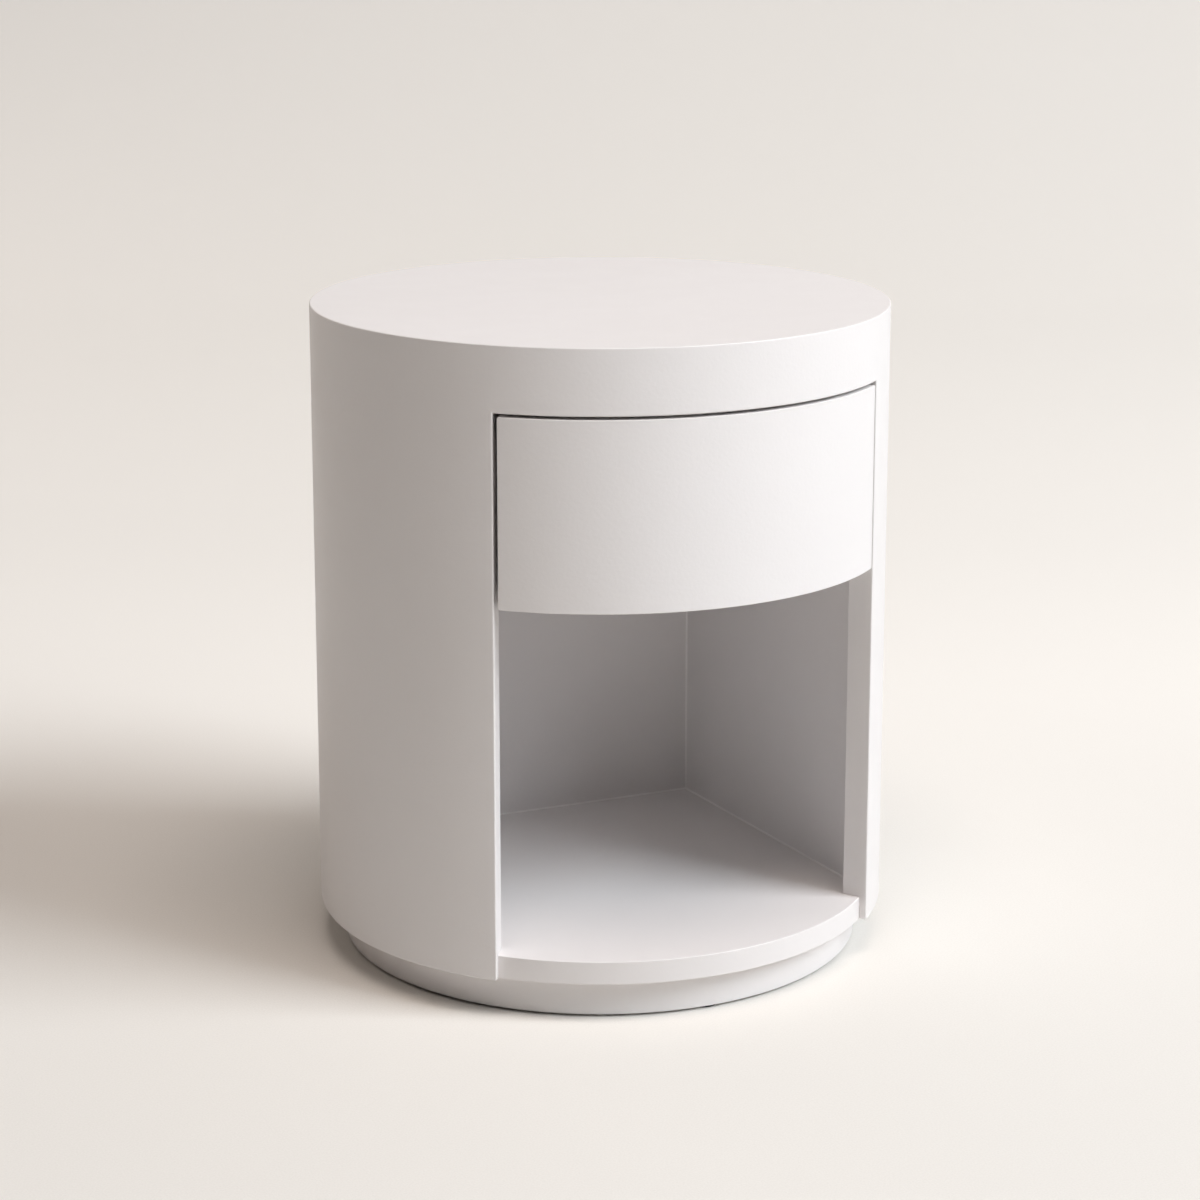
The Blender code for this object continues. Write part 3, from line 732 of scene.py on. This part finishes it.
def make_beads():
    """Thin filler lines in the niche's corners, where its panels meet each other and the floor, in
    a pale colour that paints a highlight along each joint.
    """
    lean = math.tan(SIDE_PANEL_SPLAY)
    front_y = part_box("niche_side_panel_right")[0].y + BEAD_SETBACK
    front_x = NICHE_CORNER_X + (NICHE_BACK_Y - front_y) * lean
    back_left = Vector((-NICHE_CORNER_X, NICHE_BACK_Y, FLOOR_TOP))
    back_right = Vector((NICHE_CORNER_X, NICHE_BACK_Y, FLOOR_TOP))
    across = bead_section((0, -1, 0), (0, 0, 1), BEAD)
    place_bead("filler_back", across, back_left, back_right)
    for side, sign in SIDES:
        away = Vector((-sign * math.cos(SIDE_PANEL_SPLAY), -math.sin(SIDE_PANEL_SPLAY), 0))
        foot = Vector((sign * NICHE_CORNER_X, NICHE_BACK_Y, FLOOR_TOP))
        head = Vector((foot.x, foot.y, CEILING_BOTTOM))
        along = Vector((sign * front_x, front_y, FLOOR_TOP))
        upright = bead_section((0, -1, 0), away, BEAD)
        low = bead_section(away, (0, 0, 1), BEAD)
        place_bead(f"filler_corner_{side}", upright, foot, head)
        place_bead(f"filler_side_{side}", low, foot, along)


def make_bumpers():
    """Soft domed pads on the front edge of the niche's roof, behind the drawer front."""
    height = FRONT_INNER_RADIUS - SEAT - WALL_INNER_RADIUS
    for side, sign in SIDES:
        node = f"drawer_bumper_{side}"
        low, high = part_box(node)
        radius = (high.z - low.z) / 2
        dome = [
            (radius * math.cos(turn), height * (BUMPER_SKIRT + (1 - BUMPER_SKIRT) * math.sin(turn)))
            for turn in steps_between(0, math.pi / 2, BUMPER_STEPS)[:-1]
        ]
        profile = [(0, 0), (radius, 0), *dome, (0, height)]
        shape = turned(profile, even_turns(SMALL_STEPS))
        foot = on_circle(WALL_INNER_RADIUS, sign * BUMPER_ANGLE)
        outward = on_circle(1, sign * BUMPER_ANGLE)
        pointed(shape, (*foot, middle(node).z), (*outward, 0))
        place_piece(f"soft_stop_{side}", shape, "cabinet", "clear_rubber", [node])


def make_drawer_sides():
    """Boards with round upper edges and a groove for the bottom, cut to the curve of the front."""
    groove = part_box("drawer_bottom")[0].z - SEAT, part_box("drawer_bottom")[1].z + SEAT
    edge, foot = BOARD_EDGE_RADIUS, BOARD_LOWER_EDGE
    for side, sign in SIDES:
        node = f"drawer_side_{side}"
        low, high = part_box(node)
        inner, outer = sorted((abs(low.x), abs(high.x)))
        section = [
            *rounded((outer - edge, high.z - edge), edge, 0, 90),
            *rounded((inner + edge, high.z - edge), edge, 90, 180),
            (inner, groove[1]),
            (inner + GROOVE_DEPTH, groove[1]),
            (inner + GROOVE_DEPTH, groove[0]),
            (inner, groove[0]),
            *rounded((inner + foot, low.z + foot), foot, 180, 270, 2),
            *rounded((outer - foot, low.z + foot), foot, 270, 360, 2),
        ]
        shape = along_y(
            [(sign * x, z) for x, z in section],
            lambda x: -math.sqrt((FRONT_INNER_RADIUS - SEAT) ** 2 - x**2),
            high.y,
        )
        back = sharp_edges(shape, lambda edge: min(v.co.y for v in edge.verts) > high.y - TOUCH)
        soften(shape, back, BOARD_BACK_EDGE, 2)
        place_piece(f"box_side_{side}", shape, "drawer", "inner_board", [node])


def make_board(name, node, body, edge):
    """A plain board with all its edges softened."""
    low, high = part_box(node)
    outline = [(low.x, low.y), (high.x, low.y), (high.x, high.y), (low.x, high.y)]
    shape = extruded(outline, low.z, high.z)
    soften(shape, list(shape.edges), edge)
    place_piece(name, shape, body, "inner_board", [node])


def folded(web, flange_end, half):
    """Section of a bent steel channel as (depth, height) points, with round folds."""
    way = math.copysign(1, flange_end - web)
    reach = abs(flange_end - web)
    bend, tight = FOLD_RADIUS, FOLD_RADIUS - SLIDE_SHEET
    inside = half - SLIDE_SHEET
    section = [
        (reach, -half),
        *rounded((bend, bend - half), bend, 270, 180),
        *rounded((bend, half - bend), bend, 180, 90),
        (reach, half),
        (reach, inside),
        *rounded((bend, half - bend), tight, 90, 180),
        *rounded((bend, bend - half), tight, 180, 270),
        (reach, -inside),
    ]
    return [(web + way * depth, height) for depth, height in section]


def make_slides():
    """Three nested channels on each side, held by pan-head screws."""
    for side, sign in SIDES:
        members = (
            ("cabinet", "cabinet", 1),
            ("middle", f"slide_middle_{side}", 1),
            ("drawer", "drawer", -1),
        )
        for member, body, way in members:
            node = f"slide_{member}_member_{side}"
            low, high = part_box(node)
            depths = sorted(SLIDE_FACE_X - abs(x) for x in (low.x, high.x))
            centre = middle(node).z
            section = [
                (sign * (SLIDE_FACE_X - depth), centre + height)
                for depth, height in folded(*depths[::way], (high.z - low.z) / 2)
            ]
            shape = along_y(section, lambda x, y=low.y: y, high.y)
            ends = sharp_edges(
                shape,
                lambda edge: abs(edge.verts[0].co.y - edge.verts[1].co.y) < MM,
            )
            soften(shape, ends, CHANNEL_END_EDGE, 2)
            place_piece(f"{member}_channel_{side}", shape, body, "zinc_steel", [node])
            if member != "middle":
                make_slide_screws(member, side, body, Vector((sign * way, 0, 0)))


def make_slide_screws(member, side, body, direction):
    """Pan-head screws with a cross recess, driven in a direction through one channel."""
    shank, head, tall = SLIDE_SHANK_RADIUS, SLIDE_HEAD_RADIUS, SLIDE_HEAD_HEIGHT
    for place in ("front", "back"):
        node = f"{member}_slide_screw_{side}_{place}"
        low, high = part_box(node)
        length = high.x - low.x - tall
        profile = [
            (0, length),
            (shank * 0.6, length),
            (shank, length - SLIDE_TIP),
            (shank, 0),
            (head - SLIDE_HEAD_RIM, 0),
            (head, -SLIDE_HEAD_RIM),
            (head, -0.45 * tall),
            (head * 0.93, -0.72 * tall),
            (head * 0.8, -0.92 * tall),
            (head * 0.66, -tall),
        ]
        shape = turned(profile, even_turns(SMALL_STEPS))
        recess = [((0, 0), cross(*SLIDE_CROSS))]
        hollow_out(shape, recess, SLIDE_CROSS_DEPTH, CROSS_NARROWING)
        centre = middle(node)
        foot = low.x + tall if direction.x > 0 else high.x - tall
        pointed(shape, (foot, centre.y, centre.z), direction)
        place_piece(f"{node}_pan", shape, body, "zinc_steel", [node])


def dress_solids():
    """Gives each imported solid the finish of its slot, for those that still show."""
    for subpart in frame["record"]["subparts"]:
        slots = NODES[subpart["node"]].data.materials
        slots.clear()
        slots.append(FINISHES[subpart["material_slot"]])


def seen_rays(tree):
    """One for rays that show the surroundings, straight, in gloss or through clear pads, else 0."""
    path = tree.nodes.new("ShaderNodeLightPath").outputs
    seen = maths(tree, "MAXIMUM", path["Is Camera Ray"], path["Is Glossy Ray"])
    return maths(tree, "MAXIMUM", seen, path["Is Transmission Ray"])


def spread_glow(tree, place):
    """Strength of the paper's glow, by depth behind the drum and by side."""
    behind = (-math.sin(CAMERA_HEADING), math.cos(CAMERA_HEADING), 0)
    right = (math.cos(CAMERA_HEADING), math.sin(CAMERA_HEADING), 0)
    ahead = distance_along(tree, place, behind)
    aside = distance_along(tree, place, right)
    left = maths(tree, "SUBTRACT", maths(tree, "MULTIPLY", aside, -1.0), GLOW_CALM)
    left = maths(tree, "SUBTRACT", left, maths(tree, "MAXIMUM", ahead, 0.0))
    left = maths(tree, "MULTIPLY", left, GLOW_RISE)
    first, last = GLOW_STOPS[0][0], GLOW_STOPS[-1][0]
    share = tree.nodes.new("ShaderNodeMapRange")
    share.inputs["From Min"].default_value = first
    share.inputs["From Max"].default_value = last
    link(tree, maths(tree, "MAXIMUM", ahead, left), share.inputs["Value"])
    lean = tree.nodes.new("ShaderNodeMapRange")
    lean.inputs["From Min"].default_value = -GLOW_LEAN_END
    lean.inputs["From Max"].default_value = GLOW_LEAN_END
    lean.inputs["To Min"].default_value = 1 - GLOW_LEAN_END * GLOW_LEAN
    lean.inputs["To Max"].default_value = 1 + GLOW_LEAN_END * GLOW_LEAN
    link(tree, aside, lean.inputs["Value"])
    glow = tree.nodes.new("ShaderNodeValToRGB")
    glow.color_ramp.interpolation = "CARDINAL"
    stops = glow.color_ramp.elements
    for metres, _ in GLOW_STOPS[1:-1]:
        stops.new((metres - first) / (last - first))
    for stop, (_, strength) in zip(stops, GLOW_STOPS):
        stop.color = (strength, strength, strength, 1)
    link(tree, share.outputs["Result"], glow.inputs["Fac"])
    strength = maths(tree, "MULTIPLY", glow.outputs["Color"], lean.outputs["Result"])
    return maths(tree, "MULTIPLY", strength, seen_rays(tree))


def studio_paper():
    """Matte pale paper that glows a little where it is seen."""
    material, tree, shader, place = new_finish("studio_paper", PAPER_LIGHT, PAPER_ROUGHNESS)
    tint(tree, shader, noise(tree, place, 700, 3), PAPER_DARK, PAPER_LIGHT)
    relief(tree, shader, noise(tree, place, 900, 3), 0.1 * MM, 0.4)
    shader.inputs["Specular IOR Level"].default_value = PAPER_GLOSS
    shader.inputs["Emission Color"].default_value = (*PAPER_GLOW, 1)
    link(tree, spread_glow(tree, place), shader.inputs["Emission Strength"])
    return material


def make_stage():
    """One seamless pale sweep: floor, long curve and wall, square to the camera."""
    material = studio_paper()
    bend = steps_between(0, math.pi / 2, SWEEP_BEND_STEPS)[1:]
    profile = [
        (SWEEP_NEAR, 0.0),
        (0.0, 0.0),
        (SWEEP_FAR, 0.0),
        *(
            (SWEEP_FAR + SWEEP_BEND * math.sin(turn), SWEEP_BEND * (1 - math.cos(turn)))
            for turn in bend
        ),
        (SWEEP_FAR + SWEEP_BEND, SWEEP_HEIGHT),
    ]
    shape = bmesh.new()
    edges = (-SWEEP_HALF_WIDTH, SWEEP_HALF_WIDTH)
    rows = [[shape.verts.new((x, y, z)) for y, z in profile] for x in edges]
    for i in range(len(profile) - 1):
        shape.faces.new([rows[0][i], rows[1][i], rows[1][i + 1], rows[0][i + 1]])
    shape.transform(Matrix.Rotation(CAMERA_HEADING, 4, "Z"))
    data = bpy.data.meshes.new("studio_sweep")
    shape.to_mesh(data)
    shape.free()
    data.shade_smooth()
    data.materials.append(material)
    sweep = bpy.data.objects.new("studio_sweep", data)
    bpy.context.scene.collection.objects.link(sweep)


def area_lamp(name, turn, height_angle, distance, size, power, colour):
    """A soft rectangular lamp that looks at the drum from an angle round it and a height angle."""
    lamp = bpy.data.lights.new(name, "AREA")
    lamp.shape = "RECTANGLE"
    lamp.size, lamp.size_y = size
    lamp.energy = power
    lamp.color = colour
    made = bpy.data.objects.new(name, lamp)
    turn, height_angle = math.radians(turn), math.radians(height_angle)
    flat = on_circle(math.cos(height_angle), turn)
    way = Vector((flat.x, flat.y, math.sin(height_angle)))
    made.location = Vector((0, 0, LAMP_AIM_HEIGHT)) + way * distance
    made.rotation_euler = way.to_track_quat("Z", "Y").to_euler()
    bpy.context.scene.collection.objects.link(made)


def make_light():
    """A world that only shows, in the view and in gloss, and the lamps."""
    world = bpy.data.worlds.new("pale_room")
    world.use_nodes = True
    tree = world.node_tree
    background = tree.nodes["Background"]
    background.inputs["Color"].default_value = (*PAPER_GLOW, 1)
    strength = maths(tree, "MULTIPLY", seen_rays(tree), ROOM_GLOW)
    link(tree, strength, background.inputs["Strength"])
    bpy.context.scene.world = world
    for name, values in LAMPS.items():
        area_lamp(name, *values)


def make_camera():
    lens = bpy.data.cameras.new("camera")
    lens.lens = CAMERA_LENS
    lens.sensor_width = CAMERA_SENSOR
    lens.shift_y = CAMERA_SHIFT
    lens.clip_end = CAMERA_CLIP_END
    made = bpy.data.objects.new("camera", lens)
    made.location = CAMERA_PLACE
    made.rotation_euler = (CAMERA_PITCH, 0, CAMERA_HEADING)
    bpy.context.scene.collection.objects.link(made)
    bpy.context.scene.camera = made


dress_solids()
make_top()
make_wall()
make_drawer_front()
make_floor()
make_plinth()
make_plinth_screws()
make_glides()
make_ceiling()
make_beads()
make_bumpers()
make_drawer_sides()
make_board("box_back", "drawer_back", "drawer", BOARD_EDGE_RADIUS)
for side, _ in SIDES:
    make_board(f"batten_{side}", f"runner_batten_{side}", "cabinet", BATTEN_EDGE)
make_slides()
make_stage()
make_light()
make_camera()
bpy.context.scene.view_settings.view_transform = "Standard"
